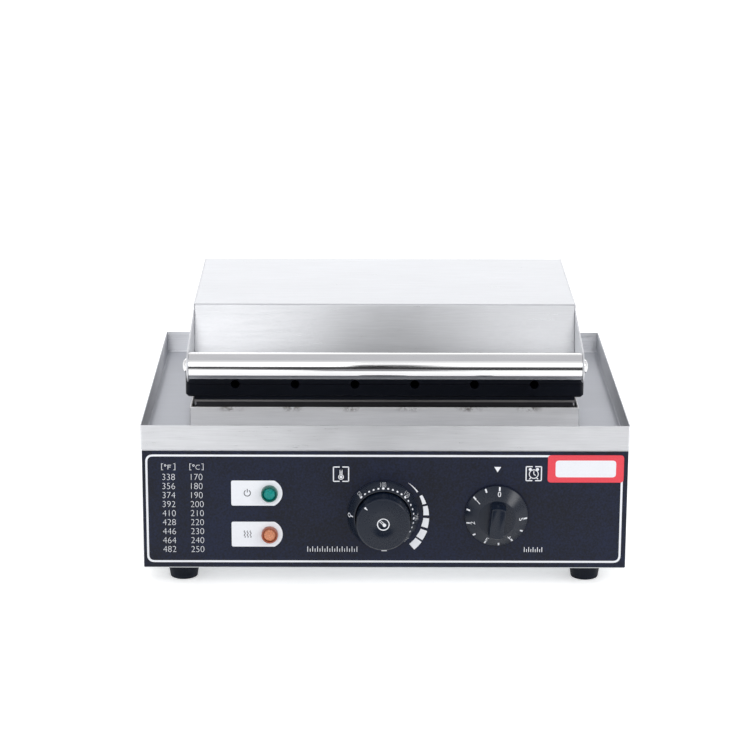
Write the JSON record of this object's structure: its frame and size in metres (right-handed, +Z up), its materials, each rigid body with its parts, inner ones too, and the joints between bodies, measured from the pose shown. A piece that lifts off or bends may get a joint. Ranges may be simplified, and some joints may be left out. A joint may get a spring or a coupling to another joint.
{
  "type": "hot dog waffle maker",
  "caption": "Countertop cooker with two cast plates for hot dogs on sticks, a hinged hood with a tube handle, a drip tray and a front panel with thermostat, timer and lamps.",
  "frame": {"origin": "on the surface the feet stand on, under the middle of the base", "axes": "+X to the right seen from the front, +Y to the back, +Z up, with the lid shut"},
  "size_m": [0.4, 0.3542, 0.2163],
  "materials": {
    "black_rubber": "matte",
    "zinc_sheet": "zinc plated",
    "brushed_sheet": "brushed",
    "grey_sheet": "dull",
    "printed_film": "satin print",
    "coated_casting": "black non-stick coating",
    "heater_sheath": "oxidised",
    "mineral_wool": "felted",
    "sensor_copper": "bright",
    "switch_plastic": "moulded",
    "black_plastic": "satin",
    "green_lens": "translucent",
    "amber_lens": "translucent",
    "grey_plastic": "moulded",
    "polished_tube": "polished",
    "steel_shaft": "turned"
  },
  "bodies": {
    "base": {"rubber_feet": "black_rubber", "bottom_cover": "zinc_sheet", "base_shell": "brushed_sheet", "control_panel": "printed_film", "drip_tray": "brushed_sheet", "pedestal_skirt": "brushed_sheet", "lower_housing": "grey_sheet", "lower_plate": "coated_casting", "lower_heater": "heater_sheath", "lower_clamp": "zinc_sheet", "lower_insulation": "mineral_wool", "sensor_bulb": "sensor_copper", "hinge_bracket_left": "brushed_sheet", "hinge_bracket_right": "brushed_sheet", "thermostat_bezel": "black_plastic", "thermostat_body": "switch_plastic", "timer_body": "switch_plastic", "power_lamp": "green_lens", "heat_lamp": "amber_lens", "terminal_block": "switch_plastic", "cord_gland": "grey_plastic"},
    "lid": {"upper_plate": "coated_casting", "upper_heater": "heater_sheath", "upper_clamp": "zinc_sheet", "upper_insulation": "mineral_wool", "lid_hood": "brushed_sheet", "lid_side_left": "brushed_sheet", "lid_side_right": "brushed_sheet", "handle_tube": "polished_tube", "hinge_shaft": "steel_shaft"},
    "thermostat_knob": {"thermostat_knob": "black_plastic", "thermostat_spindle": "steel_shaft"},
    "timer_knob": {"timer_dial": "black_plastic", "timer_spindle": "steel_shaft"}
  },
  "joints": [
    {"name": "lid_hinge", "type": "hinge", "parent": "base", "child": "lid", "pos_m": [0, 0.131, 0.1619], "axis": [-1, 0, 0], "range_deg": [0, 95]},
    {"name": "thermostat_turn", "type": "hinge", "parent": "base", "child": "thermostat_knob", "pos_m": [-0.0015, -0.1505, 0.0637], "axis": [0, 1, 0], "range_deg": [-42, 183]},
    {"name": "timer_turn", "type": "hinge", "parent": "base", "child": "timer_knob", "pos_m": [0.0916, -0.1505, 0.0637], "axis": [0, 1, 0], "range_deg": [-5.5, 267]}
  ]
}
